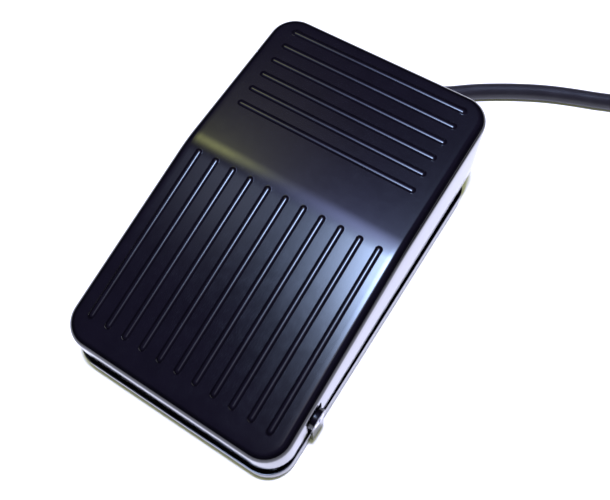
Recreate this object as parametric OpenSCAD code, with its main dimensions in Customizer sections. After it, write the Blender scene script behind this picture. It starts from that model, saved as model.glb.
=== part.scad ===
// Foot pedal switch of a small sewing machine: a ribbed rocking cover on a low tray, two pivot
// screws, two return springs, a lever microswitch and a lead that ends in a jack plug.
// Origin: middle of the footprint, on the surface that the pedal stands on.
// +Y points to the toe end, +X to the user's right, +Z up. Rest position, nothing pressed.

/* [Cover] */
// Width of the pedal cover
cover_w = 66; // [64:0.5:67]
// Heel end of the cover
cover_heel_y = -52.8; // [-54:0.1:-52]
// Toe end of the cover
cover_toe_y = 54; // [53:0.5:56]
// Radius of the upright corners
corner_r = 7.6; // [6:0.1:8]
// Radius of the top edge
edge_r = 2.4; // [1.5:0.1:3]
// Place of the bend across the top
bend_y = 5.3; // [3:0.1:7]
// Height of the top at the bend
bend_h = 33; // [32.5:0.5:35]
// Rise of the heel surface, in degrees
heel_slope = 13; // [12:0.5:13]
// Rise of the toe surface, in degrees
toe_slope = 3.1; // [2:0.1:4]
// Thickness of the top
top_t = 2; // [1.6:0.1:2]
// Thickness of the side walls
skirt_t = 2.2; // [1.8:0.1:2.4]

/* [Ribs] */
// Distance between ribs
rib_pitch = 5.4; // [5:0.1:5.6]
// Number of ribs along the heel surface
heel_ribs = 11; // [5:2:11]
// Number of ribs across the toe surface
toe_ribs = 6; // [1:1:6]
// Length of the heel ribs
rib_l = 51.3; // [30:0.1:54]
// How far the ribs stand out
rib_h = 0.6; // [0.4:0.1:0.8]

/* [Base] */
// Width of the tray
base_w = 66.2; // [66:0.2:68]
// Heel end of the tray
base_heel_y = -53.5; // [-56:0.1:-53]
// Toe end of the tray
base_toe_y = 49.8; // [49.8:0.1:50]
// Height of the rim
rim_h = 6.4; // [5.5:0.1:6.4]
// Thickness of the tray's floor
floor_t = 2; // [1.8:0.1:2]
// How far the rubber feet stand out below
foot_out = 0.8; // [0.8:0.1:1]

/* [Pivot] */
// Place of the pivot along the pedal
pivot_y = -35.8; // [-37:0.1:-35]
// Height of the pivot
pivot_z = 15; // [14.5:0.1:15.5]
// Radius of the pivot screw's shoulder
shoulder_r = 1.6; // [1.4:0.05:1.6]
// Running clearance of the shoulder, on the radius
running = 0.05; // [0.02:0.01:0.1]

/* [Lead] */
// Diameter of the lead
cord_d = 5; // [5:0.5:5]
// Turns side by side in the coil
coil_columns = 4; // [3:1:4]
// Layers of turns in the coil
coil_layers = 2; // [2:1:2]

/* [Hidden] */
$fn = 48;
eps = 0.01;
hull_fn = 24;

// Cover: x is across, the top follows two planes and a short blend between them
half_w = cover_w / 2;
blend = 3.5;
skirt_heel_z = 8;
skirt_toe_z = 14;
cover_length = cover_toe_y - cover_heel_y;
// Pivot: slot in the cover's skirt, ear of the tray, lug under the cover
slot_half = 3.2;
slot_top = 19.3;
ear_r = 2.9;
ear_half = 2.5;
ear_in = 31.3;
ear_out = 33.9;
boss_out = 34.4;
lug_in = 27;
lug_out = half_w - skirt_t;
head_r = 2.05;
head_out = boss_out + 0.1;
bush_r = 2.2;
bush_out = 33.2;
// Tray
tray_under = foot_out;
tray_floor = foot_out + floor_t;
tray_wall = 2.2;
rim_drop = 1.6;
rim_lip = 0.3;
upstand_w = 60.4;
upstand_t = 1.6;
upstand_heel_y = -50;
upstand_toe_y = 49.2;
upstand_h = 14.5;
upstand_r = 5;
foot_places = [[-26, -45], [26, -45], [-26, 41], [26, 41]];
foot_r = 4;
foot_seat = 0.6;
// Stops
stop_places = [[-24, 43], [24, 43]];
stop_top = tray_floor + 4;
stop_post_z = 12.7;
heel_stop_y = -47.5;
heel_stop_z = tray_floor + 0.2;
// Return springs
spring_y = 30;
spring_x = 21;
spring_r = 5;
spring_wire = 1;
spring_turns = 8;
spring_top = 31.2;
// Microswitch
case_x = 5.15;
case_y0 = 2;
case_l = 27.8;
case_z0 = 8.7;
case_h = 15.9;
case_t = 1.2;
case_top = case_z0 + case_h;
hole_heel = [4.8, 21.8];
hole_toe = [27, 11.5];
lever_y = 4.5;
lever_z = 25.9;
lever_rest = 9.9;
lever_l = 25;
lever_t = 0.4;
plunger_y = 12.5;
plunger_r = 1.2;
plunger_z0 = 17.05;
plunger_z1 = 26.75;
blade_y = 5.4;
blade_z = 16;
blade_rest = 5.18;
contact_y = 21;
contact_r = 1.1;
common_y = 5;
open_y = 15.5;
closed_y = 23;
// Pad under the cover that presses the lever
pad_y = 26;
pad_z = 31.5;
pad_r = 1.6 - 0.1;
// Lead
cord_r = cord_d / 2;
gland_z = 5.4;
gland_end = 57.5;
clamp_y = 40;
clamp_x = 6.5;
coil_at = [118, 66];
coil_r = 11 * cord_r;
coil_half = coil_columns * cord_r;

// Hand-laid route from the gland to the coil's outer, lowest turn
cord_route = [
    [0, 57.5, 5.4], [0, 61, 4.9], [1, 66, 3.2], [3.5, 70, 2.5], [7.5, 74, 2.5], [12.5, 77.3, 2.5],
    [18, 81.5, 2.5], [24, 85.5, 2.5], [30.5, 89.3, 2.5], [37.5, 92.9, 2.5], [45, 96, 2.5],
    [52, 98.5, 2.5], [59, 101.2, 2.5], [67, 104, 2.5], [76, 106.3, 2.5], [86, 107.6, 2.5],
    [97, 107.2, 2.5], [108, 104.9, 2.5], [118, 101, 2.5]
];
// Route from the coil's outer, upper turn down to the plug
tail_route = [
    [153, 66, 7.5], [153, 58, 7.5], [153, 54, 7.2], [153, 50.5, 6.3], [153, 47, 5], [153, 43.5, 3.7],
    [153, 40, 2.8], [153, 36, 2.5], [153, 31.5, 2.7], [153, 27.5, 3.3], [153, 24, 3.5]
];
plug_at = tail_route[len(tail_route) - 1];
grip_l = 24;
grip_r = 3.5;

// Wires inside, from the sheath's end to the switch
wire_r = 0.8;
wire_common_route = [
    [1, 35, 5.2], [1.2, 33, 4.9], [3.2, 30.8, 4.2], [7, 28.6, 3.8], [9, 24.5, 3.7], [9, 18, 3.7],
    [8.5, 10, 3.7], [6.5, 6, 4], [4, 3.8, 5], [1.6, 3.75, 5.8]
];
wire_open_route = [
    [-1, 35, 5.2], [-1.2, 33, 4.9], [-3, 29.5, 4.1], [-4.7, 25.5, 3.7], [-5, 20, 3.7], [-4.8, 15.5, 3.7],
    [-3.6, 13.3, 4.3], [-1.7, 13.2, 5.3], [-0.3, 14.5, 5.9]
];

// Height of the top surface, without ribs, at a place along the pedal
function top_z(y) = bend_h + (y - bend_y) * tan(y < bend_y ? heel_slope : toe_slope);
// Height of the skirt's lower edge at a place along the pedal
function skirt_z(y) = skirt_heel_z + (skirt_toe_z - skirt_heel_z) * (y - cover_heel_y) / cover_length;
// Places where the side outline of the top turns
top_breaks = [cover_heel_y, bend_y - blend, bend_y + blend, cover_toe_y];

// ---------------------------------------------------------------- shared shapes

// Upright block with rounded corners
module rounded_block(w, y0, y1, r, z0, z1) {
    translate([-w / 2 + r, y0, z0]) cube([w - 2 * r, y1 - y0, z1 - z0]);
    translate([-w / 2, y0 + r, z0]) cube([w, y1 - y0 - 2 * r, z1 - z0]);
    for (x = [-w / 2 + r, w / 2 - r], y = [y0 + r, y1 - r])
        translate([x, y, z0]) cylinder(r = r, h = z1 - z0);
}

// Solid below the cover's top, sunk by a depth, as wide as asked
module under_top(depth, w) {
    outline = concat(
        [[cover_heel_y - 5, 0], [cover_heel_y - 5, top_z(cover_heel_y - 5) - depth / cos(heel_slope)]],
        [[bend_y - blend, top_z(bend_y - blend) - depth / cos(heel_slope)]],
        [[bend_y + blend, top_z(bend_y + blend) - depth / cos(toe_slope)]],
        [[cover_toe_y + 5, top_z(cover_toe_y + 5) - depth / cos(toe_slope)], [cover_toe_y + 5, 0]]
    );
    rotate([90, 0, 90]) translate([0, 0, -w / 2]) linear_extrude(w) polygon(outline);
}

// Cylinder lying along X
module rod_x(x0, x1, y, z, r, sides = 48) {
    translate([x0, y, z]) rotate([0, 90, 0]) cylinder(r = r, h = x1 - x0, $fn = sides);
}

// Cylinder or cone lying along Y
module rod_y(y0, y1, x, z, r, r_end = undef) {
    translate([x, y0, z]) rotate([-90, 0, 0])
        cylinder(r1 = r, r2 = is_undef(r_end) ? r : r_end, h = y1 - y0);
}

// Pan head screw pointing down, its head's underside at z = 0
module pan_screw(head, head_h, shank, length) {
    difference() {
        union() {
            cylinder(r = head, h = head_h);
            translate([0, 0, -length]) cylinder(r = shank, h = length + eps);
        }
        for (turn = [0, 90])
            rotate(turn) translate([-head * 0.6, -0.3, head_h * 0.5]) cube([head * 1.2, 0.6, head_h]);
    }
}

// Smooth point between route points, by Catmull-Rom
function blend_point(a, b, c, d, t) =
    0.5 * (2 * b + (c - a) * t + (2 * a - 5 * b + 4 * c - d) * t * t + (3 * b - a - 3 * c + d) * t * t * t);
function route_point(route, i, t) =
    let (last = len(route) - 1)
    blend_point(route[max(i - 1, 0)], route[i], route[min(i + 1, last)], route[min(i + 2, last)], t);
// Route with extra points between the given ones
function fine_route(route, steps) = [
    for (i = [0 : len(route) - 2], k = [0 : steps - 1]) route_point(route, i, k / steps),
    route[len(route) - 1]
];
function unit(v) = v / norm(v);
function heading(points, i) =
    unit(points[min(i + 1, len(points) - 1)] - points[max(i - 1, 0)]);
// One ring of a tube: side points square to the heading, one axis kept level
function ring(centre, along, r, sides) =
    let (across = unit(cross(along, [0, 0, 1])), up = cross(across, along))
    [for (k = [0 : sides - 1]) centre + r * (cos(360 * k / sides) * across + sin(360 * k / sides) * up)];

// Tube swept along points
module tube(points, r, sides) {
    rings = len(points);
    corners = [for (i = [0 : rings - 1]) each ring(points[i], heading(points, i), r, sides)];
    walls = [
        for (i = [0 : rings - 2], k = [0 : sides - 1])
            [i * sides + k, i * sides + (k + 1) % sides, (i + 1) * sides + (k + 1) % sides, (i + 1) * sides + k]
    ];
    start = [for (k = [0 : sides - 1]) sides - 1 - k];
    end = [for (k = [0 : sides - 1]) (rings - 1) * sides + k];
    polyhedron(corners, concat(walls, [start, end]), convexity = 8);
}

// ---------------------------------------------------------------- pedal cover

// Ball on the top edge, so that its top just meets the top surface
module edge_ball(x, y) {
    translate([x, y, top_z(y) - edge_r / cos(y < bend_y ? heel_slope : toe_slope)])
        sphere(r = edge_r, $fn = hull_fn);
}

// Rounded corner post of the cover: end is -1 at the heel and 1 at the toe
module corner_post(side, end) {
    y_end = end < 0 ? cover_heel_y : cover_toe_y;
    centre = [side * (half_w - corner_r), y_end - end * corner_r];
    translate([centre.x, centre.y, 0]) cylinder(r = corner_r, h = 1, $fn = hull_fn * 2);
    for (turn = [0, 30, 60, 90])
        edge_ball(centre.x + side * (corner_r - edge_r) * cos(turn),
                  centre.y + end * (corner_r - edge_r) * sin(turn));
}

// Straight stretch of the side walls at a place along the pedal
module side_posts(y) {
    for (side = [-1, 1]) {
        translate([side * (half_w - 0.5) - 0.5, y - 0.05, 0]) cube([1, 0.1, 1]);
        edge_ball(side * (half_w - edge_r), y);
    }
}

// Outer shape of the cover down to the ground
module cover_hull() {
    hull() {
        for (side = [-1, 1]) corner_post(side, -1);
        side_posts(bend_y - blend);
    }
    hull() {
        side_posts(bend_y - blend);
        side_posts(bend_y + blend);
    }
    hull() {
        for (side = [-1, 1]) corner_post(side, 1);
        side_posts(bend_y + blend);
    }
}

// Round-topped rib of a length, lying along its own X on the plane z = 0
module rib(length) {
    r = 1.1;
    translate([0, 0, rib_h - r]) {
        translate([-length / 2 + r, 0, 0]) rotate([0, 90, 0]) cylinder(r = r, h = length - 2 * r);
        for (end = [-1, 1]) translate([end * (length / 2 - r), 0, 0]) sphere(r = r);
    }
}

module top_ribs() {
    // Along the heel surface
    translate([0, bend_y, bend_h]) rotate([heel_slope, 0, 0])
        for (i = [0 : heel_ribs - 1])
            translate([(i - (heel_ribs - 1) / 2) * rib_pitch, -1.5 - rib_l / 2, 0]) rotate(90) rib(rib_l);
    // Across the toe surface
    translate([0, bend_y, bend_h]) rotate([toe_slope, 0, 0])
        for (i = [0 : toe_ribs - 1])
            translate([0, 16 + i * rib_pitch, 0]) rib(10 * rib_pitch);
}

// What hangs under the top, before it is trimmed to the top
module cover_fittings() {
    tall = 40;
    for (side = [-1, 1]) {
        // Pivot lug
        translate([side > 0 ? lug_in : -lug_out, pivot_y - 5, pivot_z - 3.6])
            cube([lug_out - lug_in, 10, tall]);
        // Seat of the return spring, with its stud
        translate([side * spring_x, spring_y, spring_top]) cylinder(r = 6.4, h = tall);
        translate([side * spring_x, spring_y, spring_top - 3]) cylinder(r = 3.6, h = tall);
        // Heel stop
        translate([side * 20 - 3, heel_stop_y, heel_stop_z]) cube([6, 2, tall]);
        // Stiffening rib
        difference() {
            translate([side * 12 - 0.6, cover_heel_y + 1, 0]) cube([1.2, 50, tall]);
            under_top(top_t + 3, cover_w);
        }
    }
    // Post over each stop pad
    for (place = stop_places) translate([place.x, place.y, stop_post_z]) cylinder(r = 3, h = tall);
    // Pad over the switch lever
    rod_x(-3, 3, pad_y, pad_z, pad_r);
    translate([-3, pad_y - pad_r, pad_z]) cube([6, 2 * pad_r, 10]);
}

module pedal_cover() {
    color([0.08, 0.08, 0.10]) difference() {
        union() {
            difference() {
                union() {
                    cover_hull();
                    top_ribs();
                }
                intersection() {
                    rounded_block(cover_w - 2 * skirt_t, cover_heel_y + skirt_t, cover_toe_y - skirt_t,
                                  corner_r - skirt_t, -1, 60);
                    under_top(top_t, cover_w);
                }
            }
            intersection() {
                cover_fittings();
                under_top(top_t / 2, cover_w);
                rounded_block(cover_w - skirt_t, cover_heel_y + skirt_t / 2, cover_toe_y - skirt_t / 2,
                              corner_r - skirt_t / 2, 0, 60);
            }
        }
        // Everything of the skirt below its slanted lower edge
        difference() {
            rotate([90, 0, 90]) translate([0, 0, -half_w - 1]) linear_extrude(cover_w + 2)
                polygon([
                    [cover_heel_y - 1, -1], [cover_heel_y - 1, skirt_z(cover_heel_y - 1)],
                    [cover_toe_y + 1, skirt_z(cover_toe_y + 1)], [cover_toe_y + 1, -1]
                ]);
            rounded_block(cover_w - 2 * skirt_t - eps, cover_heel_y + skirt_t + 0.5, cover_toe_y - skirt_t,
                          corner_r - skirt_t, -2, 60);
        }
        for (side = [-1, 1]) {
            // Slot for the tray's ear
            translate([side > 0 ? lug_out : -half_w - 1, pivot_y - slot_half, 0])
                cube([skirt_t + 1, 2 * slot_half, slot_top]);
            // Hole for the pivot screw
            rod_x(side > 0 ? lug_in - 1 : -lug_out - 1, side > 0 ? lug_out + 1 : -lug_in + 1,
                  pivot_y, pivot_z, 1.3);
        }
        // Way for the lead under the toe wall
        translate([-5.5, cover_toe_y - skirt_t - 1, 0]) cube([11, skirt_t + 2, 17]);
    }
}

module pivot_screws() {
    color("silver") for (side = [-1, 1]) mirror([side > 0 ? 0 : 1, 0, 0]) difference() {
        union() {
            rod_x(bush_out + running, head_out, pivot_y, pivot_z, head_r);
            rod_x(lug_out, bush_out + running + eps, pivot_y, pivot_z, shoulder_r);
            rod_x(lug_in + 0.5, lug_out + eps, pivot_y, pivot_z, 1.29);
        }
        for (turn = [0, 90])
            translate([head_out - 0.6, pivot_y, pivot_z]) rotate([turn, 0, 0])
                translate([0, -1.3, -0.3]) cube([2, 2.6, 0.6]);
    }
}

module pivot_washers() {
    color("gainsboro") for (side = [-1, 1]) mirror([side > 0 ? 0 : 1, 0, 0]) difference() {
        rod_x(lug_out, lug_out + 0.4, pivot_y, pivot_z, 3);
        rod_x(lug_out - 1, lug_out + 2, pivot_y, pivot_z, shoulder_r + 0.1);
    }
}

// ---------------------------------------------------------------- base

module base_ear(side) {
    mirror([side > 0 ? 0 : 1, 0, 0]) {
        translate([ear_in, pivot_y - ear_half, tray_under])
            cube([ear_out - ear_in, 2 * ear_half, pivot_z - tray_under]);
        rod_x(ear_in, boss_out, pivot_y, pivot_z, ear_r);
    }
}

// Inner wall that closes the gap behind the skirt, open where the cover's lugs hang
module base_upstand() {
    difference() {
        rounded_block(upstand_w, upstand_heel_y, upstand_toe_y, upstand_r, tray_under + 1, upstand_h);
        rounded_block(upstand_w - 2 * upstand_t, upstand_heel_y + upstand_t, upstand_toe_y - upstand_t,
                      upstand_r - upstand_t, 0, upstand_h + 1);
        translate([-base_w / 2, pivot_y - 6.6, rim_h]) cube([base_w, 13.2, upstand_h]);
    }
}

// What is cut off the rim so that its top falls inwards from a narrow lip
module rim_slope() {
    near = corner_r - tray_wall;
    far = corner_r - rim_lip;
    low = rim_h - rim_drop;
    x_mid = base_w / 2 - corner_r;
    y_mid = [base_heel_y + corner_r, base_toe_y - corner_r];
    for (side = [-1, 1]) {
        translate([0, y_mid[1], 0]) rotate([90, 0, 0]) linear_extrude(y_mid[1] - y_mid[0])
            polygon([[0, low], [side * (x_mid + near), low], [side * (x_mid + far), rim_h + eps], [0, rim_h + eps]]);
        y = side < 0 ? y_mid[0] : y_mid[1];
        translate([-x_mid, 0, 0]) rotate([90, 0, 90]) linear_extrude(2 * x_mid)
            polygon([[0, low], [y + side * near, low], [y + side * far, rim_h + eps], [0, rim_h + eps]]);
        for (x = [-x_mid, x_mid]) translate([x, y, low])
            cylinder(r1 = near, r2 = far, h = rim_drop + eps);
    }
}

module base_tray() {
    color([0.09, 0.09, 0.10]) difference() {
        union() {
            difference() {
                rounded_block(base_w, base_heel_y, base_toe_y, corner_r, tray_under, rim_h);
                rounded_block(base_w - 2 * tray_wall, base_heel_y + tray_wall, base_toe_y - tray_wall,
                              corner_r - tray_wall, tray_floor, rim_h + 1);
                rim_slope();
            }
            base_upstand();
            for (side = [-1, 1]) {
                base_ear(side);
                // Stud that locates the return spring
                translate([side * spring_x, spring_y, tray_under + 1]) cylinder(r = 3.6, h = 4.5);
            }
            // Raised wall around the gland
            translate([-6.5, base_toe_y - tray_wall, tray_under])
                cube([13, tray_wall, 11 - tray_under]);
            // Saddle under the sheath
            translate([-9.5, clamp_y - 3, tray_under + 1]) cube([19, 6, gland_z - tray_under - 1]);
            // Bosses of the switch bracket
            for (y = [8, 24]) translate([-11, y, tray_under + 1]) cylinder(r = 3, h = 4);
        }
        // Seats of the rubber feet
        for (place = foot_places)
            translate([place.x, place.y, -1]) cylinder(r = foot_r + 0.05, h = tray_under + foot_seat + 1);
        for (side = [-1, 1]) mirror([side > 0 ? 0 : 1, 0, 0]) {
            rod_x(ear_in - 1, boss_out + 1, pivot_y, pivot_z, bush_r);
        }
        // Hole for the gland, groove for the sheath
        rod_y(base_toe_y - tray_wall - 1, base_toe_y + 1, 0, gland_z, 3.2);
        rod_y(clamp_y - 4, clamp_y + 4, 0, gland_z, cord_r + 0.02);
        // Screw holes
        for (x = [-clamp_x, clamp_x]) translate([x, clamp_y, 1.4]) cylinder(r = 1.2, h = 10);
        for (y = [8, 24]) translate([-11, y, 1.4]) cylinder(r = 1.2, h = 10);
    }
}

module pivot_bushes() {
    color("goldenrod") for (side = [-1, 1]) mirror([side > 0 ? 0 : 1, 0, 0]) difference() {
        rod_x(ear_in, bush_out, pivot_y, pivot_z, bush_r);
        rod_x(ear_in - 1, bush_out + 1, pivot_y, pivot_z, shoulder_r + running);
    }
}

module rubber_feet() {
    color("dimgray") for (place = foot_places)
        translate([place.x, place.y, 0]) cylinder(r = foot_r, h = tray_under + foot_seat);
}

module stop_pads() {
    color("dimgray") for (place = stop_places)
        translate([place.x, place.y, tray_floor]) cylinder(r = 4, h = stop_top - tray_floor);
}

// Helical compression spring standing on z = 0, with closed ends
module coil_spring(height) {
    per_turn = 16;
    steps = spring_turns * per_turn;
    lift = height - spring_wire;
    function rise(f) = f < 0.12 ? 1.2 * f : f > 0.88 ? 1 - 1.2 * (1 - f) : 0.144 + (f - 0.12) * 0.712 / 0.76;
    points = [
        for (i = [0 : steps])
            [spring_r * cos(360 * i / per_turn), spring_r * sin(360 * i / per_turn),
             spring_wire / 2 + lift * rise(i / steps)]
    ];
    tube(points, spring_wire / 2, 6);
}

module return_spring(side) {
    color("silver") translate([side * spring_x, spring_y, tray_floor])
        coil_spring(spring_top - tray_floor);
}

module return_spring_left() { return_spring(-1); }
module return_spring_right() { return_spring(1); }

// ---------------------------------------------------------------- microswitch

module switch_bracket() {
    color("lightsteelblue") difference() {
        union() {
            translate([-case_x - 1, case_y0, 5.8]) cube([1, case_l, 18.2]);
            translate([-14.5, case_y0, 5.8]) cube([14.5 - case_x, case_l, 1]);
        }
        for (hole = [hole_heel, hole_toe]) rod_x(-case_x - 2, -case_x + 1, hole[0], hole[1], 1.6);
        for (y = [8, 24]) translate([-11, y, 0]) cylinder(r = 1.4, h = 10);
        // Relief so that the foot clears the terminals
        translate([-case_x - 1 - eps, case_y0 + 8, 5]) cube([3, 6, 1.2]);
    }
}

module bracket_screws() {
    color("silver") for (y = [8, 24]) translate([-11, y, 6.8]) pan_screw(2.3, 1.5, 1.19, 5);
}

module switch_case() {
    color([0.16, 0.16, 0.17]) difference() {
        union() {
            difference() {
                translate([-case_x, case_y0, case_z0]) cube([2 * case_x - case_t, case_l, case_h]);
                translate([-case_x + case_t, case_y0 + case_t, case_z0 + case_t])
                    cube([2 * case_x, case_l - 2 * case_t, case_h - 2 * case_t]);
            }
            // Tubes around the mounting holes
            for (hole = [hole_heel, hole_toe])
                rod_x(-case_x, case_x - case_t, hole[0], hole[1], 2.5);
            // Ears of the lever's pin
            for (x = [-case_x, case_x - case_t - 1]) {
                translate([x, lever_y - 1.1, case_top - 1]) cube([1, 2.2, lever_z - case_top + 1]);
                rod_x(x, x + 1, lever_y, lever_z, 1.1);
            }
        }
        for (hole = [hole_heel, hole_toe]) rod_x(-case_x - 1, case_x + 1, hole[0], hole[1], 1.55);
        rod_x(-case_x - 1, case_x + 1, lever_y, lever_z, 0.51);
        translate([0, plunger_y, case_top - 3]) cylinder(r = plunger_r + running, h = 5);
        for (y = [common_y, open_y, closed_y])
            translate([-2.42, y - 0.42, case_z0 - 1]) cube([4.84, 0.84, case_t + 2]);
    }
}

module switch_lid() {
    color([0.20, 0.20, 0.21]) difference() {
        translate([case_x - case_t, case_y0, case_z0]) cube([case_t, case_l, case_h]);
        for (hole = [hole_heel, hole_toe]) rod_x(0, case_x + 1, hole[0], hole[1], 1.55);
    }
}

module switch_screws() {
    color("silver") for (hole = [hole_heel, hole_toe])
        translate([case_x, hole[0], hole[1]]) rotate([0, 90, 0]) pan_screw(2.7, 1.8, 1.49, 14);
}

module switch_nuts() {
    color("gainsboro") for (hole = [hole_heel, hole_toe]) difference() {
        rod_x(-case_x - 3.4, -case_x - 1, hole[0], hole[1], 3.1, 6);
        rod_x(-case_x - 5, -case_x, hole[0], hole[1], 1.5);
    }
}

module lever_pin() {
    color("silver") rod_x(-case_x, case_x - case_t, lever_y, lever_z, 0.5);
}

module switch_lever() {
    color("gainsboro") difference() {
        translate([0, lever_y, lever_z]) rotate([lever_rest, 0, 0]) {
            rod_x(-2.8, 2.8, 0, 0, 0.95);
            translate([-2.2, 0, -lever_t / 2]) cube([4.4, lever_l, lever_t]);
        }
        rod_x(-5, 5, lever_y, lever_z, 0.56);
    }
}

module switch_plunger() {
    color("firebrick") translate([0, plunger_y, 0]) {
        translate([0, 0, plunger_z0]) cylinder(r = plunger_r, h = plunger_z1 - plunger_z0);
        translate([0, 0, 20]) cylinder(r = 1.9, h = 1.2);
    }
}

module contact_blade() {
    color("goldenrod") translate([0, blade_y, blade_z]) rotate([blade_rest, 0, 0]) {
        rod_x(-1.8, 1.8, 0, 0, 0.3);
        translate([-1.8, 0.2, -0.15]) cube([3.6, 16.4, 0.3]);
        translate([0, contact_y - blade_y, -0.45]) cylinder(r = contact_r, h = 0.9);
    }
}

// Upright terminal blade with its soldering hole
module terminal(y, top) {
    difference() {
        translate([-2.4, y - 0.4, 4.4]) cube([4.8, 0.8, top - 4.4]);
        rod_y(y - 1, y + 1, 0, 6, 0.8);
    }
}

module terminal_common() {
    color("gold") terminal(common_y, blade_z - 0.3);
}

module terminal_open() {
    color("gold") {
        terminal(open_y, 12.7);
        translate([-1.8, open_y - 0.4, 12.4]) cube([3.6, contact_y + 1.4 - open_y, 0.6]);
        translate([0, contact_y, 13 - eps]) cylinder(r = contact_r, h = 0.75);
    }
}

module terminal_closed() {
    color("gold") {
        terminal(closed_y, 19.2);
        translate([-1.8, contact_y - 1.4, 18.6]) cube([3.6, closed_y + 1.8 - contact_y, 0.6]);
        translate([0, contact_y, 18]) cylinder(r = contact_r, h = 0.6 + eps);
    }
}

// ---------------------------------------------------------------- lead

module wire_common() {
    color("saddlebrown") tube(fine_route(wire_common_route, 2), wire_r, 8);
}

module wire_open() {
    color("steelblue") tube(fine_route(wire_open_route, 2), wire_r, 8);
}

module cord_gland() {
    inner = base_toe_y - tray_wall;
    color([0.05, 0.05, 0.05]) difference() {
        union() {
            rod_y(inner - 1.6, inner, 0, gland_z, 4.4);
            rod_y(inner - eps, base_toe_y + eps, 0, gland_z, 3.18);
            rod_y(base_toe_y, base_toe_y + 1.4, 0, gland_z, 4.4);
            rod_y(base_toe_y + 1.4 - eps, gland_end, 0, gland_z, 3.7, 3.1);
        }
        rod_y(inner - 3, gland_end + 1, 0, gland_z, cord_r + 0.02);
        // Flat that clears the tray's floor
        translate([-5, inner - 3, 0]) cube([10, 3 - eps, tray_floor + 0.02]);
    }
}

module cord_sheath() {
    color([0.05, 0.05, 0.05]) rod_y(35, gland_end, 0, gland_z, cord_r);
}

module cord_clamp() {
    color([0.10, 0.10, 0.11]) difference() {
        translate([-9.5, clamp_y - 3, gland_z]) cube([19, 6, 3.8]);
        rod_y(clamp_y - 4, clamp_y + 4, 0, gland_z, cord_r + 0.02);
        for (x = [-clamp_x, clamp_x]) translate([x, clamp_y, 0]) cylinder(r = 1.4, h = 12);
    }
}

module clamp_screws() {
    color("silver") for (x = [-clamp_x, clamp_x])
        translate([x, clamp_y, gland_z + 3.8]) pan_screw(2.3, 1.5, 1.19, 7);
}

module cord() {
    color([0.06, 0.06, 0.07]) tube(fine_route(cord_route, 1), cord_r, 10);
}

module cord_coil() {
    color([0.06, 0.06, 0.07]) translate([coil_at.x, coil_at.y, 0]) rotate_extrude()
        translate([coil_r - coil_half, 0]) square([2 * coil_half, coil_layers * cord_d]);
}

module cord_tail() {
    color([0.06, 0.06, 0.07]) tube(fine_route(tail_route, 1), cord_r, 10);
}

// Stretch of the plug, measured from where the lead enters it; it points towards -Y
module plug_rod(from, to, r, r_end = undef) {
    rod_y(plug_at.y - to, plug_at.y - from, plug_at.x, plug_at.z, is_undef(r_end) ? r : r_end, r);
}

module plug_grip() {
    color([0.05, 0.05, 0.05]) {
        plug_rod(0, 9, 2.7, grip_r);
        plug_rod(9 - eps, grip_l, grip_r);
    }
}

module plug_sleeve() {
    color("silver") {
        plug_rod(grip_l, grip_l + 1, 2.6);
        plug_rod(grip_l + 1 - eps, grip_l + 9, 1.75);
    }
}

module plug_ring() {
    color([0.05, 0.05, 0.05]) plug_rod(grip_l + 9, grip_l + 9.8, 1.75);
}

module plug_tip() {
    color("silver") {
        plug_rod(grip_l + 9.8, grip_l + 11.6, 1.6, 1.3);
        plug_rod(grip_l + 11.6 - eps, grip_l + 13, 1.3, 1.75);
        plug_rod(grip_l + 13 - eps, grip_l + 14.6, 1.75, 0.7);
    }
}

pedal_cover();
pivot_screws();
pivot_washers();
base_tray();
pivot_bushes();
rubber_feet();
stop_pads();
return_spring_left();
return_spring_right();
switch_bracket();
bracket_screws();
switch_case();
switch_lid();
switch_screws();
switch_nuts();
lever_pin();
switch_lever();
switch_plunger();
contact_blade();
terminal_common();
terminal_open();
terminal_closed();
wire_common();
wire_open();
cord_gland();
cord_sheath();
cord_clamp();
clamp_screws();
cord();
cord_coil();
cord_tail();
plug_grip();
plug_sleeve();
plug_ring();
plug_tip();
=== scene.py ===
import math

import bpy
import numpy as np
from mathutils import Matrix, Vector


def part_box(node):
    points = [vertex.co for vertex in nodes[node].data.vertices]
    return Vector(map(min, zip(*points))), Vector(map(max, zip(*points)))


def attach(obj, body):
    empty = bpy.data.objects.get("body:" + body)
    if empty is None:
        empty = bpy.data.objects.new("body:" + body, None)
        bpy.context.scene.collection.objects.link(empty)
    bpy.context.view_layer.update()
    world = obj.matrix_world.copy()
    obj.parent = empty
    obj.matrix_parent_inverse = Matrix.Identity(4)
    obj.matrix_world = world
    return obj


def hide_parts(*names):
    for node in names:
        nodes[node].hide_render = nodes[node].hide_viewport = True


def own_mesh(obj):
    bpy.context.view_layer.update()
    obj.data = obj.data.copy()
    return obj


# Foot pedal switch of a small sewing machine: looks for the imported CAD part.
# Lengths are in millimetres until a mesh or an object is made, which is in metres.
MM = 0.001

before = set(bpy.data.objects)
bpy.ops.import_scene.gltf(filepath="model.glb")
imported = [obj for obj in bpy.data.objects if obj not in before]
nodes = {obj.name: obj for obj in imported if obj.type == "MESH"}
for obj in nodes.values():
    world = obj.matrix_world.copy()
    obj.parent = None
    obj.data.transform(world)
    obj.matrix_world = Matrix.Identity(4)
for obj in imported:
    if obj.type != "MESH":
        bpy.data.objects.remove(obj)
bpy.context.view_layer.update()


def corners(node):
    """Lowest and highest corner of a CAD node, in millimetres."""
    low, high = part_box(node)
    return low / MM, high / MM


# ------------------------------------------------------------------ camera

CAMERA_AT = Vector((57.87, -68.38, 188.17))
CAMERA_AIM = Vector((2.33, 6.83, 0))
CAMERA_ROLL = math.radians(4.17)
CAMERA_LENS = 42.49


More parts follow.
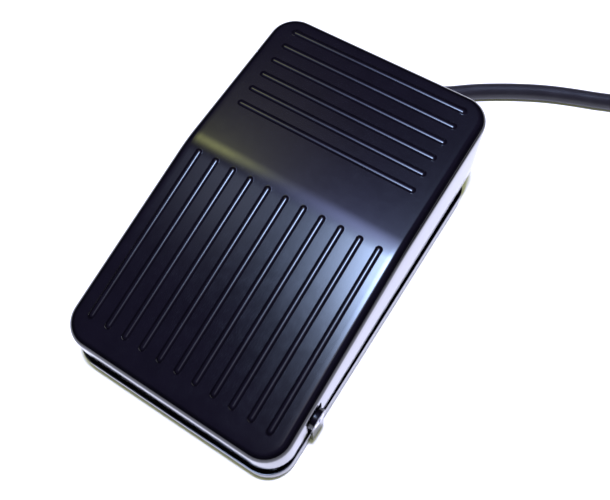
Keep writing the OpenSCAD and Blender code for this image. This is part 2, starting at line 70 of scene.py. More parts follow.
def place_camera():
    data = bpy.data.cameras.new("camera")
    data.lens = CAMERA_LENS
    data.sensor_width = 36
    data.clip_start = 0.005
    forward = (CAMERA_AIM - CAMERA_AT).normalized()
    level = forward.cross(Vector((0, 0, 1))).normalized()
    upright = level.cross(forward)
    right = math.cos(CAMERA_ROLL) * level - math.sin(CAMERA_ROLL) * upright
    up = right.cross(forward)
    turn = Matrix((right, up, -forward)).transposed().to_4x4()
    camera = bpy.data.objects.new("camera", data)
    camera.matrix_world = Matrix.Translation(CAMERA_AT * MM) @ turn
    bpy.context.scene.collection.objects.link(camera)
    bpy.context.scene.camera = camera


# ------------------------------------------------------------------ lead

LEAD_R = 2.5
# Laid from the gland to the coil's outer, lowest turn
LEAD_ROUTE = [
    (0, 57.5, 5.4), (0, 61, 4.9), (1, 66, 3.2), (3.5, 70, 2.5), (7.5, 74, 2.5), (12.5, 77.3, 2.5),
    (18, 81.5, 2.5), (24, 85.5, 2.5), (30.5, 89.3, 2.5), (37.5, 92.9, 2.5), (45, 96, 2.5),
    (52, 98.5, 2.5), (59, 101.2, 2.5), (67, 104, 2.5), (76, 106.3, 2.5), (86, 107.6, 2.5),
    (97, 107.2, 2.5), (108, 104.9, 2.5), (118, 101, 2.5),
]
# Laid from the coil's outer, upper turn down to the plug
TAIL_ROUTE = [
    (153, 66, 7.5), (153, 58, 7.5), (153, 54, 7.2), (153, 50.5, 6.3), (153, 47, 5), (153, 43.5, 3.7),
    (153, 40, 2.8), (153, 36, 2.5), (153, 31.5, 2.7), (153, 27.5, 3.3), (153, 24, 3.5),
]
COIL_AT = (118, 66)
COIL_OUTER = 35
COIL_STEPS = 16
COIL_TURNS = 7.25


def ease(value):
    """0 below 0, 1 above 1, smooth between."""
    value = min(max(value, 0), 1)
    return value * value * (3 - 2 * value)


def coil_place(turns):
    """Where the coil has come to after so many clockwise turns from its far side."""
    thick = 2 * LEAD_R
    inward = sum(ease((turns - k - 0.75) * 4) for k in range(3))
    outward = sum(ease((turns - k - 0.25) * 4) for k in range(4, 7))
    radius = COIL_OUTER - thick * (inward - outward)
    height = LEAD_R + thick * ease((turns - 3.5) * 4)
    angle = math.radians(90 - 360 * turns)
    return (COIL_AT[0] + radius * math.cos(angle), COIL_AT[1] + radius * math.sin(angle), height)


def make_lead():
    """The whole free lead, as one smooth curve from the gland to the plug."""
    steps = int(COIL_TURNS * COIL_STEPS)
    coil = [coil_place(i / COIL_STEPS) for i in range(1, steps)]
    points = LEAD_ROUTE + coil + TAIL_ROUTE
    curve = bpy.data.curves.new("lead", "CURVE")
    curve.dimensions = "3D"
    curve.bevel_depth = LEAD_R * MM
    curve.bevel_resolution = 7
    curve.use_fill_caps = True
    spline = curve.splines.new("BEZIER")
    spline.bezier_points.add(len(points) - 1)
    spline.resolution_u = 6
    for bezier, point in zip(spline.bezier_points, points):
        bezier.co = Vector(point) * MM
        bezier.handle_left_type = "AUTO"
        bezier.handle_right_type = "AUTO"
    lead = bpy.data.objects.new("lead", curve)
    bpy.context.scene.collection.objects.link(lead)
    return lead, curve_length(points)


def curve_length(points):
    """Length of the line through points, chord by chord, in metres."""
    chords = sum((Vector(b) - Vector(a)).length for a, b in zip(points, points[1:]))
    return chords * MM


# ------------------------------------------------------------------ node trees

class Tree:
    """Short calls for the nodes of one material or world."""

    def __init__(self, owner):
        owner.use_nodes = True
        self.tree = owner.node_tree
        self.tree.nodes.clear()

    def add(self, kind, inputs=(), **settings):
        """A node of a kind; inputs are (socket, value or other socket) pairs."""
        node = self.tree.nodes.new("ShaderNode" + kind)
        for name, value in settings.items():
            setattr(node, name, value)
        for name, value in inputs:
            if isinstance(value, bpy.types.NodeSocket):
                self.tree.links.new(value, node.inputs[name])
            else:
                node.inputs[name].default_value = value
        return node

    def math(self, operation, *values):
        node = self.add("Math", list(enumerate(values)), operation=operation)
        return node.outputs[0]

    def vector_math(self, operation, *values, scale=None):
        inputs = list(enumerate(values)) + ([("Scale", scale)] if scale is not None else [])
        return self.add("VectorMath", inputs, operation=operation)

    def noise(self, size, detail=2.0, stretch=(1, 1, 1), offset=(0, 0, 0)):
        """Noise whose blots are about size millimetres across."""
        place = self.add("TexCoord").outputs["Object"]
        scale = [1 / (size * MM * s) for s in stretch]
        moved = self.add("Mapping", [("Vector", place), ("Location", offset), ("Scale", scale)])
        texture = self.add("TexNoise", [("Vector", moved.outputs[0]), ("Scale", 1.0), ("Detail", detail)])
        return texture.outputs["Fac"]

    def remap(self, value, start, end, low=0.0, high=1.0, smooth=False):
        """value from start to end, turned into low to high."""
        kind = "SMOOTHSTEP" if smooth else "LINEAR"
        inputs = [("Value", value), ("From Min", start), ("From Max", end), ("To Min", low), ("To Max", high)]
        return self.add("MapRange", inputs, interpolation_type=kind).outputs[0]

    def mix(self, factor, first, second):
        node = self.add("Mix", data_type="RGBA")
        for socket, value in ((0, factor), (6, first), (7, second)):
            if isinstance(value, bpy.types.NodeSocket):
                self.tree.links.new(value, node.inputs[socket])
            else:
                node.inputs[socket].default_value = value
        return node.outputs[2]

    def bump(self, height, rise, below=None):
        """Normals of a height from 0 to 1 that stands for rise millimetres."""
        inputs = [("Height", height), ("Distance", rise * MM), ("Strength", 1.0)]
        if below is not None:
            inputs.append(("Normal", below))
        return self.add("Bump", inputs).outputs[0]


def rgb(red, green, blue):
    return (red, green, blue, 1.0)


# ------------------------------------------------------------------ light and floor

# The long lamp, as a direction, with the softness of its sides and of its near and far ends
LAMP_X = -0.111
LAMP_Y = -0.069
LAMP_HALF_WIDTH = 0.0486
LAMP_EDGE_NEAR = 0.035
LAMP_EDGE_FAR = 0.084
LAMP_COLOUR = (99, 131, 205)
ROOM_COLOUR = (0.10, 0.085, 0.21)
# The room gets darker from the first height of a direction down to the second, to a tenth
ROOM_HIGH = 0.88
ROOM_LOW = 0.5
ROOM_LOW_SHARE = 0.1
# Each glow: its direction, its spread (1 minus the cosine where it has faded to 1/e) and its colour
GLOWS = (
    (Vector((-0.21, 0.20, 1)), 0.0071, (2.7, 3.1, 6.2)),
    (Vector((-0.42, -0.03, 1)), 0.0035, (0.8, 0.9, 1.2)),
    (Vector((-0.49, 0.25, 1)), 0.0024, (3.9, 4.1, 1.5)),
    (Vector((-0.44, 0.36, 1)), 0.006, (0.5, 0.5, 0.5)),
    (Vector((0.03, -0.20, 1)), 0.010, (1.3, 1.3, 1.6)),
)

KEY_AT = Vector((35, -15, 450))
KEY_R = 22
KEY_COLOUR = (0.69, 0.70, 1.0)
KEY_WATTS = 18.5
FILL_ANGLE = math.radians(160)
FILL_COLOUR = (0.95, 1.0, 0.55)
FILL_STRENGTH = 1.7
FLOOR_SIZE = 20  # metres


def light_world():
    """What the gloss mirrors: a long soft lamp high above and faint glows around it, in a dark room."""
    world = bpy.data.worlds.new("studio")
    bpy.context.scene.world = world
    tree = Tree(world)
    toward = tree.add("TexCoord").outputs["Generated"]
    place = tree.add("SeparateXYZ", [("Vector", toward)]).outputs
    off_x = tree.math("DIVIDE", tree.math("SUBTRACT", place["X"], LAMP_X), LAMP_HALF_WIDTH)
    off_y = tree.math("SUBTRACT", place["Y"], LAMP_Y)
    near = tree.math("ADD", tree.math("EXPONENT", tree.math("DIVIDE", off_y, -LAMP_EDGE_NEAR)), 1.0)
    far = tree.math("ADD", tree.math("EXPONENT", tree.math("DIVIDE", off_y, LAMP_EDGE_FAR)), 1.0)
    spread = tree.math("MULTIPLY", tree.math("COSH", off_x), tree.math("MULTIPLY", near, far))
    parts = [(tree.math("DIVIDE", 1.0, spread), LAMP_COLOUR)]
    for centre, width, colour in GLOWS:
        level = tree.vector_math("DOT_PRODUCT", toward, tuple(centre.normalized())).outputs["Value"]
        away = tree.math("SUBTRACT", 1.0, level)
        parts.append((tree.math("EXPONENT", tree.math("DIVIDE", away, -width)), colour))
    above = tree.remap(place["Z"], ROOM_LOW, ROOM_HIGH, ROOM_LOW_SHARE, 1.0, smooth=True)
    total = tree.vector_math("SCALE", ROOM_COLOUR, scale=above).outputs[0]
    for share, colour in parts:
        part = tree.vector_math("SCALE", colour, scale=share).outputs[0]
        total = tree.vector_math("ADD", total, part).outputs[0]
    sky = tree.add("Background", [("Color", total), ("Strength", 1.0)])
    tree.add("OutputWorld", [("Surface", sky.outputs[0])])
    world.cycles_visibility.diffuse = False


def add_light(name, data, colour, strength):
    """A light that brightens the floor but doesn't show in the gloss."""
    data.color = colour
    data.energy = strength
    light = bpy.data.objects.new(name, data)
    light.visible_glossy = False
    bpy.context.scene.collection.objects.link(light)
    return light


def light_floor():
    """A lamp over the pedal that clips the floor to white, and a warm fill for its shadows."""
    key = bpy.data.lights.new("key", "POINT")
    key.shadow_soft_size = KEY_R * MM
    add_light("key", key, KEY_COLOUR, KEY_WATTS).location = KEY_AT * MM
    fill = bpy.data.lights.new("fill", "SUN")
    fill.angle = FILL_ANGLE
    add_light("fill", fill, FILL_COLOUR, FILL_STRENGTH)


def make_floor():
    bpy.ops.mesh.primitive_plane_add(size=FLOOR_SIZE, location=(0, 0, 0))
    floor = bpy.context.object
    floor.name = "floor"
    material = bpy.data.materials.new("floor_paper")
    tree = Tree(material)
    tone = tree.remap(tree.noise(40, 3), 0.3, 0.7)
    colour = tree.mix(tone, rgb(0.86, 0.86, 0.88), rgb(0.88, 0.88, 0.90))
    shader = tree.add("BsdfPrincipled", [("Base Color", colour), ("Roughness", 0.9)])
    tree.add("OutputMaterial", [("Surface", shader.outputs[0])])
    floor.data.materials.append(material)


# ------------------------------------------------------------------ materials

def finish_material(name, colour, second, rough, grain, grain_rise, metallic=0.0, wave=0.0, wave_rise=0.0,
                    stretch=(1, 1, 1), specular=0.5):
    """Moulded, rubber or metal surface. colour drifts to second; rough is its lowest and highest value;
    grain and wave are the sizes of the fine and broad unevenness, each with its rise, in millimetres."""
    material = bpy.data.materials.new(name)
    tree = Tree(material)
    drift = tree.remap(tree.noise(max(grain * 12, 4), 3), 0.3, 0.7)
    blots = tree.remap(tree.noise(grain * 5, 4, stretch, (3, 7, 1)), 0.3, 0.7, *rough)
    normal = None
    if wave:
        normal = tree.bump(tree.noise(wave, 1.5), wave_rise)
    normal = tree.bump(tree.noise(grain, 3, stretch), grain_rise, normal)
    shader = tree.add("BsdfPrincipled", [
        ("Base Color", tree.mix(drift, rgb(*colour), rgb(*second))), ("Roughness", blots),
        ("Metallic", metallic), ("Specular IOR Level", specular), ("Normal", normal),
    ])
    tree.add("OutputMaterial", [("Surface", shader.outputs[0])])
    return material


MATERIALS = {
    "cover_plastic": finish_material("cover_plastic", (0.0012, 0.001, 0.002), (0.0018, 0.0015, 0.003),
                                     (0.07, 0.13), 0.5, 0.0006, wave=14, wave_rise=0.012),
    "base_plastic": finish_material("base_plastic", (0.0012, 0.001, 0.002), (0.0018, 0.0015, 0.003),
                                    (0.12, 0.22), 0.4, 0.001, wave=18, wave_rise=0.02),
    "steel": finish_material("steel", (0.60, 0.60, 0.62), (0.68, 0.68, 0.70), (0.22, 0.38), 0.15, 0.002,
                             metallic=1.0),
    "zinc_steel": finish_material("zinc_steel", (0.50, 0.52, 0.55), (0.60, 0.62, 0.65), (0.30, 0.50), 0.5,
                                  0.003, metallic=1.0, stretch=(1, 8, 1)),
    "spring_steel": finish_material("spring_steel", (0.50, 0.50, 0.52), (0.60, 0.60, 0.62), (0.18, 0.32), 0.2,
                                    0.002, metallic=1.0),
    "brass": finish_material("brass", (0.62, 0.44, 0.20), (0.74, 0.55, 0.28), (0.22, 0.38), 0.3, 0.002,
                             metallic=1.0),
    "foot_rubber": finish_material("foot_rubber", (0.022, 0.022, 0.022), (0.035, 0.035, 0.034), (0.55, 0.75),
                                   0.25, 0.01),
    "lead_rubber": finish_material("lead_rubber", (0.009, 0.008, 0.011), (0.013, 0.012, 0.016), (0.34, 0.44),
                                   0.3, 0.004, wave=6, wave_rise=0.01, specular=0.3),
    "switch_plastic": finish_material("switch_plastic", (0.020, 0.020, 0.022), (0.030, 0.030, 0.032),
                                      (0.35, 0.50), 0.2, 0.004),
    "button_plastic": finish_material("button_plastic", (0.50, 0.04, 0.03), (0.58, 0.06, 0.04), (0.20, 0.30),
                                      0.2, 0.002),
    "plug_plastic": finish_material("plug_plastic", (0.012, 0.012, 0.013), (0.020, 0.020, 0.021), (0.38, 0.52),
                                    0.25, 0.004),
    "nickel": finish_material("nickel", (0.66, 0.64, 0.60), (0.74, 0.72, 0.68), (0.10, 0.20), 0.15, 0.001,
                              metallic=1.0),
    "wire_brown": finish_material("wire_brown", (0.16, 0.07, 0.03), (0.22, 0.10, 0.05), (0.35, 0.45), 0.3,
                                  0.003),
    "wire_blue": finish_material("wire_blue", (0.06, 0.16, 0.40), (0.09, 0.21, 0.48), (0.35, 0.45), 0.3, 0.003),
}


def new_piece(name, mesh, body, slot):
    """A mesh of the builder's own as a piece on a CAD body, in a slot's material."""
    piece = bpy.data.objects.new(name, mesh)
    bpy.context.scene.collection.objects.link(piece)
    mesh.materials.clear()
    mesh.materials.append(MATERIALS[slot])
    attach(piece, body)
    return piece


def smooth(mesh, sharp=35):
    mesh.shade_smooth()
    mesh.set_sharp_from_angle(angle=math.radians(sharp))


def smooth_cad(mesh):
    """Smooth shading for a mesh from the CAD, in place of the normals that came with it."""
    if "custom_normal" in mesh.attributes:
        mesh.attributes.remove(mesh.attributes["custom_normal"])
    smooth(mesh)


def dress_node(name, slot, round_by=0.0):
    """A CAD node that stays: its material, and its edges rounded by a modifier."""
    node = nodes[name]
    mesh = node.data
    smooth_cad(mesh)
    mesh.materials.clear()
    mesh.materials.append(MATERIALS[slot])
    weld = node.modifiers.new("weld", "WELD")
    weld.merge_threshold = 0.001 * MM
    if round_by:
        bevel = node.modifiers.new("rounding", "BEVEL")
        bevel.width = round_by * MM
        bevel.segments = 2
        bevel.limit_method = "ANGLE"
        bevel.angle_limit = math.radians(40)
        bevel.harden_normals = False


# ------------------------------------------------------------------ pedal cover

COVER_LOW, COVER_HIGH = corners("pedal_cover")
HEEL_INSET = 0.15
HALF_W = COVER_HIGH.x
HEEL_Y = COVER_LOW.y + HEEL_INSET
TOE_Y = COVER_HIGH.y
CORNER_R = 7.6
EDGE_R = 2.4
EDGE_STEPS = 14
MARGIN_W = 4.1
BEND_Y = 5.3
BEND_H = 33.0
BLEND = 3.5
HEEL_SLOPE = math.radians(13)
TOE_SLOPE = math.radians(3.1)
TOP_T = 2.0
SKIRT_T = 2.2
SKIRT_HEEL_Z = 8.0
SKIRT_TOE_Z = 14.0
SKIRT_ROUND = 0.35
RIB_PITCH = 5.4
HEEL_RIBS = 11
TOE_RIBS = 6
# A rib's length goes RIB_R past each end of its middle line; its width is twice RIB_HALF
RIB_R = 1.1
RIB_H = 0.36
RIB_HALF = 0.98
# Share of the rib's height that falls off as a parabola; the rest falls off more steeply, near the root
RIB_CREST = 0.6
# Places across a rib, from its middle line, where the mesh has a line
RIB_ACROSS = (0, 0.15, 0.3, 0.45, 0.58, 0.7, 0.8, 0.87, 0.93, 0.98, 1.05)
HEEL_RIB_NEAR = 1.1
HEEL_RIB_FAR = 52.8
TOE_RIB_FIRST = 16.0
PIVOT_Y = -35.8
SLOT_HALF = 3.2
SLOT_TOP = 19.3
LEAD_WAY_HALF = 5.5
LEAD_WAY_TOP = 17.0
CORNER_STEPS = 10


def top_height(y):
    """Height of the cover's top, without ribs: two planes and a smooth bend between them."""
    near, far = math.tan(HEEL_SLOPE), math.tan(TOE_SLOPE)
    start = BEND_Y - BLEND
    into = np.clip(y - start, 0, 2 * BLEND)
    past = np.maximum(y - start - 2 * BLEND, 0)
    first = BEND_H - BLEND * near + np.minimum(y - start, 0) * near
    return first + near * into + (far - near) * into ** 2 / (4 * BLEND) + far * past


def top_slope(y):
    near, far = math.tan(HEEL_SLOPE), math.tan(TOE_SLOPE)
    return near + (far - near) * np.clip((y - BEND_Y + BLEND) / (2 * BLEND), 0, 1)


def skirt_height(y):
    return SKIRT_HEEL_Z + (SKIRT_TOE_Z - SKIRT_HEEL_Z) * (y - HEEL_Y) / (TOE_Y - HEEL_Y)


def rib_lines():
    """Middle line of each rib, as (x0, y0, x1, y1)."""
    cos_heel, cos_toe = math.cos(HEEL_SLOPE), math.cos(TOE_SLOPE)
    near = BEND_Y - (HEEL_RIB_NEAR + RIB_R) * cos_heel
    far = BEND_Y - (HEEL_RIB_FAR - RIB_R) * cos_heel
    half = RIB_PITCH * (HEEL_RIBS - 1) / 2
    lines = [(i * RIB_PITCH - half, far, i * RIB_PITCH - half, near) for i in range(HEEL_RIBS)]
    for i in range(TOE_RIBS):
        y = BEND_Y + (TOE_RIB_FIRST + i * RIB_PITCH) * cos_toe
        lines.append((RIB_R - half, y, half - RIB_R, y))
    return lines


def rib_profile(away):
    """Height of a rib at a distance from its middle line: broad crest, steep flanks."""
    share = np.minimum(away / RIB_HALF, 1) ** 2
    return RIB_H * (1 - RIB_CREST * share - (1 - RIB_CREST) * share ** 2)


def rib_height(x, y):
    height = np.zeros_like(x)
    for x0, y0, x1, y1 in rib_lines():
        along = np.array((x1 - x0, y1 - y0))
        share = np.clip(((x - x0) * along[0] + (y - y0) * along[1]) / (along @ along), 0, 1)
        away = np.hypot(x - x0 - share * along[0], y - y0 - share * along[1])
        height = np.maximum(height, rib_profile(away))
    return height


def lay_top(x, y):
    """Points of the ribbed top over plan places."""
    slope = top_slope(y)
    lean = 1 / np.sqrt(1 + slope ** 2)
    rib = rib_height(x, y)
    return np.stack((x, y - rib * slope * lean, top_height(y) + rib * lean), -1)


def grid_lines(low, high, rib_places, coarse, extra=()):
    """Places of grid lines from low to high: fine across each rib, coarse between."""
    places = [low, high] + [r + s * a for r in rib_places for a in RIB_ACROSS for s in (-1, 1)] + list(extra)
    places = sorted(p for p in places if low <= p <= high)
    kept = [places[0]]
    for place in places[1:]:
        gap = place - kept[-1]
        if gap < 0.04:
            continue
        steps = math.ceil(gap / coarse)
        kept += [kept[-1] + gap * (k + 1) / steps for k in range(steps)]
    kept[-1] = high
    return np.array(kept)


class Shell:
    """Vertices and faces of a sheet that grows ring by ring."""

    def __init__(self):
        self.points = []
        self.faces = []
        self.count = 0

    def add(self, points):
        """Adds points and gives their numbers."""
        points = np.asarray(points, float).reshape(-1, 3)
        numbers = list(range(self.count, self.count + len(points)))
        self.points.append(points)
        self.count += len(points)
        return numbers

    def join(self, inner, outer):
        """Faces between two closed rings; where two inner points are one, a triangle."""
        size = len(outer)
        for a in range(size):
            b = (a + 1) % size
            face = [outer[a], outer[b], inner[b], inner[a]]
            self.faces.append(face if inner[a] != inner[b] else face[:3])

    def mesh(self, name):
        mesh = bpy.data.meshes.new(name)
        mesh.from_pydata(np.concatenate(self.points) * MM, [], self.faces)
        mesh.update()
        return mesh


def cover_rim(xs, ys):
    """Plan places and outward directions all round the inner rectangle, counter-clockwise.
    Each entry is (column, row, direction x, direction y) of a grid point."""
    last_x, last_y = len(xs) - 1, len(ys) - 1
    sides = [
        ([(i, 0) for i in range(last_x + 1)], -90),
        ([(last_x, j) for j in range(last_y + 1)], 0),
        ([(i, last_y) for i in range(last_x, -1, -1)], 90),
        ([(0, j) for j in range(last_y, -1, -1)], 180),
    ]
    rim = []
    for places, turn in sides:
        rim += [(i, j, turn) for i, j in places]
        i, j = places[-1]
        rim += [(i, j, turn + 90 * k / CORNER_STEPS) for k in range(1, CORNER_STEPS)]
    return [(i, j, math.cos(math.radians(t)), math.sin(math.radians(t))) for i, j, t in rim]


def cover_mesh():
    """The cover's shell: ribbed top, rounded edge, side walls and inner surface."""
    reach = CORNER_R
    x_in, y_low, y_high = HALF_W - reach, HEEL_Y + reach, TOE_Y - reach
    lines = rib_lines()
    heel_x = sorted({line[0] for line in lines[:HEEL_RIBS]})
    toe_y = [line[1] for line in lines[HEEL_RIBS:]]
    near, far = lines[0][3], lines[0][1]
    rows = [end + side * a for end, side in ((near, 1), (far, -1)) for a in np.arange(-0.6, 1.3, 0.15)]
    rows += list(np.arange(BEND_Y - BLEND, BEND_Y + BLEND + 0.1, 0.5))
    xs = grid_lines(-x_in, x_in, heel_x, 1.6)
    ys = grid_lines(y_low, y_high, toe_y, 2.5, rows)

    shell = Shell()
    grid_x, grid_y = np.meshgrid(xs, ys)
    numbers = np.array(shell.add(lay_top(grid_x, grid_y))).reshape(grid_x.shape)
    for j in range(len(ys) - 1):
        for i in range(len(xs) - 1):
            shell.faces.append([numbers[j][i], numbers[j][i + 1], numbers[j + 1][i + 1], numbers[j + 1][i]])

    rim = cover_rim(xs, ys)
    base = np.array([(xs[i], ys[j]) for i, j, _, _ in rim])
    out = np.array([(dx, dy) for _, _, dx, dy in rim])
    ring = [int(numbers[j][i]) for i, j, _, _ in rim]

    def grow(points):
        nonlocal ring
        wider = shell.add(points)
        shell.join(ring, wider)
        ring = wider

    def ring_at(offset, height):
        plan = base + out * offset
        return np.column_stack((plan, np.broadcast_to(height, len(plan))))

    # Flat margin of the top, fine where the outermost ribs lie in it
    for offset in grid_lines(0, MARGIN_W, [heel_x[-1] - x_in, toe_y[-1] - y_high], 0.6)[1:]:
        plan = base + out * offset
        grow(lay_top(plan[:, 0], plan[:, 1]))
    # Rounded edge from the top into the side wall
    middle = reach - EDGE_R
    centre = base + out * middle
    rise = top_slope(centre[:, 1]) * out[:, 1]
    start = math.pi / 2 + np.arctan(rise)
    centre_z = top_height(centre[:, 1]) - EDGE_R * np.hypot(1, rise)
    for k in range(EDGE_STEPS + 1):
        turn = start * (1 - k / EDGE_STEPS)
        plan = centre + out * (EDGE_R * np.cos(turn))[:, None]
        grow(np.column_stack((plan, centre_z + EDGE_R * np.sin(turn))))
    # Side wall down to its slanted, rounded lower edge, and up again inside
    lower = skirt_height((base + out * reach)[:, 1])
    for share in (0.25, 0.5, 0.75):
        grow(ring_at(reach, centre_z + (lower + SKIRT_ROUND - centre_z) * share))
    for k in range(4):
        turn = math.pi / 2 * k / 3
        grow(ring_at(reach - SKIRT_ROUND * (1 - math.cos(turn)), lower + SKIRT_ROUND * (1 - math.sin(turn))))
    inside = reach - SKIRT_T
    for k in range(4):
        turn = math.pi / 2 * k / 3
        grow(ring_at(inside + SKIRT_ROUND * (1 - math.sin(turn)), lower + SKIRT_ROUND * (1 - math.cos(turn))))
    under = top_height((base + out * inside)[:, 1]) - TOP_T / math.cos(HEEL_SLOPE)
    grow(ring_at(inside, under))
    inner = 0.6
    grow(ring_at(inner, top_height((base + out * inner)[:, 1]) - TOP_T / math.cos(HEEL_SLOPE)))
    # Inner surface: a strip for each row, and one face for each end
    count_x, count_y = len(xs), len(ys)
    right = count_x + CORNER_STEPS - 1
    left = right + count_y + CORNER_STEPS - 1 + count_x + CORNER_STEPS - 1
    for j in range(count_y - 1):
        a, b = ring[right + j], ring[right + j + 1]
        d, c = ring[left + count_y - 1 - j], ring[left + count_y - 2 - j]
        shell.faces.append([a, d, c, b])
    shell.faces.append((ring[left + count_y - 1:] + ring[:right + 1])[::-1])
    shell.faces.append(ring[right + count_y - 1:left + 1][::-1])
    return shell.mesh("cover_shell")


def rounded_prism(name, half, low, high, radius, along, steps=6):
    """Cutter: a tall rounded rectangle, half wide in Y, from low to high in Z, drawn out along X."""
    outline = []
    for cy, cz, start in ((half, high, 0), (-half, high, 90), (-half, low, 180), (half, low, 270)):
        cy -= math.copysign(radius, cy)
        cz += radius if cz == low else -radius
        for k in range(steps + 1):
            turn = math.radians(start + 90 * k / steps)
            outline.append((cy + radius * math.cos(turn), cz + radius * math.sin(turn)))
    shell = Shell()
    ends = [shell.add([(x, y, z) for y, z in outline]) for x in along]
    shell.join(ends[0], ends[1])
    shell.faces += [ends[0][::-1], ends[1]]
    cutter = bpy.data.objects.new(name, shell.mesh(name))
    bpy.context.scene.collection.objects.link(cutter)
    return cutter


def cut(piece_mesh, cutters):
    """The mesh with the cutters taken away from it."""
    work = bpy.data.objects.new("work", piece_mesh)
    bpy.context.scene.collection.objects.link(work)
    for cutter in cutters:
        modifier = work.modifiers.new("cut", "BOOLEAN")
        modifier.operation = "DIFFERENCE"
        modifier.solver = "EXACT"
        modifier.object = cutter
    bpy.context.view_layer.update()
    evaluated = work.evaluated_get(bpy.context.evaluated_depsgraph_get())
    result = bpy.data.meshes.new_from_object(evaluated)
    bpy.data.objects.remove(work)
    for cutter in cutters:
        bpy.data.objects.remove(cutter)
    return result


def cover_cutters():
    """Slots for the tray's ears in both side walls, and the way for the lead under the toe wall."""
    cutters = []
    walls = (("slot_left", -HALF_W - 1, SKIRT_T - HALF_W), ("slot_right", HALF_W - SKIRT_T, HALF_W + 1))
    for name, x0, x1 in walls:
        slot = rounded_prism(name, SLOT_HALF, 2, SLOT_TOP, 0.7, (x0, x1))
        slot.location.y = PIVOT_Y * MM
        cutters.append(slot)
    way = rounded_prism("lead_way", LEAD_WAY_HALF, 2, LEAD_WAY_TOP, 1.2, (TOE_Y - SKIRT_T - 1, TOE_Y + 1))
    way.rotation_euler.z = math.pi / 2
    cutters.append(way)
    return cutters


def cover_fittings_mesh():
    """The lugs, seats, posts and ribs inside the cover: the CAD faces that stand clear of its shell."""
    source = nodes["pedal_cover"].data
    skin = 0.03
    count = len(source.vertices)
    places = np.zeros(count * 3)
    source.vertices.foreach_get("co", places)
    places = places.reshape(-1, 3) / MM
    keep = []
    for polygon in source.polygons:
        x, y, z = places[list(polygon.vertices)].mean(0)
        walls = HALF_W - SKIRT_T - abs(x), y - HEEL_Y - SKIRT_T, TOE_Y - SKIRT_T - y
        ceiling = min(
            BEND_H + (y - BEND_Y) * math.tan(slope) - TOP_T / math.cos(slope)
            for slope in (HEEL_SLOPE, TOE_SLOPE)
        )
        if min(walls) > skin and z < ceiling - skin:
            keep.append(list(polygon.vertices))
    mesh = bpy.data.meshes.new("cover_fittings")
    mesh.from_pydata(places * MM, [], keep)
    mesh.update()
    return mesh


def make_cover():
    mesh = cut(cover_mesh(), cover_cutters())
    smooth(mesh, 33)
    shell = new_piece("cover_shell", mesh, "pedal", "cover_plastic")
    inside = cover_fittings_mesh()
    smooth(inside, 40)
    fittings = new_piece("cover_fittings", inside, "pedal", "cover_plastic")
    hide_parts("pedal_cover")
    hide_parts("pedal_cover")


# ------------------------------------------------------------------ the other pieces

ROUNDING = {
    "base_tray": ("base_plastic", 0.12), "pivot_screws": ("steel", 0.12), "pivot_washers": ("steel", 0.06),
    "pivot_bushes": ("brass", 0), "rubber_feet": ("foot_rubber", 0.4), "stop_pads": ("foot_rubber", 0.3),
    "switch_bracket": ("zinc_steel", 0.1), "bracket_screws": ("steel", 0.12),
    "switch_case": ("switch_plastic", 0.15), "switch_lid": ("switch_plastic", 0.15),
    "switch_screws": ("steel", 0.12), "switch_nuts": ("steel", 0.12), "lever_pin": ("steel", 0.05),
    "switch_lever": ("spring_steel", 0.05), "switch_plunger": ("button_plastic", 0.1),
    "contact_blade": ("brass", 0.03), "terminal_common": ("brass", 0.06), "terminal_open": ("brass", 0.06),
    "terminal_closed": ("brass", 0.06), "wire_common": ("wire_brown", 0), "wire_open": ("wire_blue", 0),
    "cord_gland": ("lead_rubber", 0.2), "cord_sheath": ("lead_rubber", 0), "cord_clamp": ("base_plastic", 0.2),
    "clamp_screws": ("steel", 0.12), "plug_sleeve": ("nickel", 0.08), "plug_ring": ("plug_plastic", 0),
    "plug_tip": ("nickel", 0.04),
}


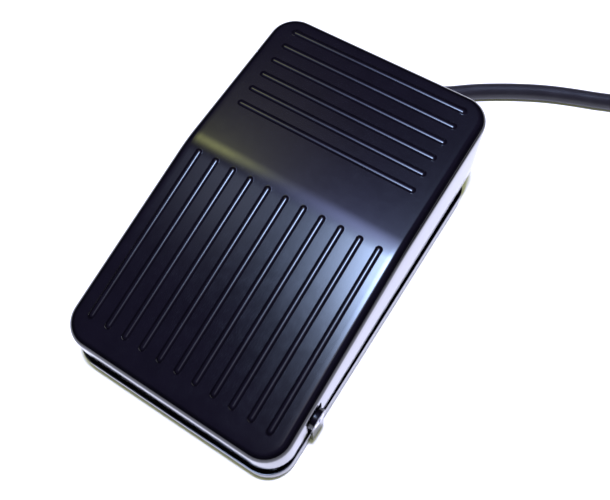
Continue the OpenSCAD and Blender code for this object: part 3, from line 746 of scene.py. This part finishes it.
def plug_grip_mesh():
    """Moulded grip of the plug: tapered sleeve, finger grooves and a rounded front edge."""
    low, high = corners("plug_grip")
    radius = (high.x - low.x) / 2
    length = high.y - low.y
    profile = [(0, LEAD_R + 0.02), (0, 2.9), (1.2, 3.0)]
    for k in range(4):
        start = 2.0 + 1.7 * k
        profile += [(start, 2.95 + 0.12 * k), (start + 0.3, 2.65 + 0.12 * k), (start + 0.8, 2.65 + 0.12 * k),
                    (start + 1.1, 3.0 + 0.12 * k)]
    profile += [(9.4, radius - 0.05), (10, radius)]
    for k in range(5):
        start = 12.2 + 1.5 * k
        profile += [(start, radius), (start + 0.2, radius - 0.25), (start + 0.6, radius - 0.25),
                    (start + 0.8, radius)]
    profile += [(length - 0.8, radius), (length - 0.25, radius - 0.2), (length, radius - 0.7), (length, 1.0)]
    shell = Shell()
    steps = 48
    middle = Vector(((low.x + high.x) / 2, high.y, (low.z + high.z) / 2))
    rings = []
    for along, out in profile:
        turns = [2 * math.pi * k / steps for k in range(steps)]
        rings.append(shell.add([
            (middle.x + out * math.cos(t), middle.y - along, middle.z + out * math.sin(t)) for t in turns
        ]))
    for first, second in zip(rings, rings[1:]):
        shell.join(first, second)
    shell.faces += [rings[0], rings[-1][::-1]]
    return shell.mesh("plug_grip_moulded")


def make_others():
    for name, (slot, round_by) in ROUNDING.items():
        dress_node(name, slot, round_by)
    grip = plug_grip_mesh()
    smooth(grip, 50)
    piece = new_piece("plug_grip_moulded", grip, "base", "plug_plastic")
    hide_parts("plug_grip")
    return piece


def make_springs():
    """The return springs, which get shorter as the cover comes down on them."""
    for name in ("return_spring_left", "return_spring_right"):
        mesh = nodes[name].data.copy()
        smooth_cad(mesh)
        piece = new_piece(name + "_wire", mesh, "base", "spring_steel")
        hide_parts(name)
        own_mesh(piece)


# ------------------------------------------------------------------ the whole scene

place_camera()
lead, lead_length = make_lead()
lead.data.materials.append(MATERIALS["lead_rubber"])
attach(lead, "base")
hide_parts("cord", "cord_coil", "cord_tail")
light_world()
light_floor()
make_floor()
make_cover()
plug_grip = make_others()
make_springs()
bpy.context.scene.view_settings.view_transform = "Standard"
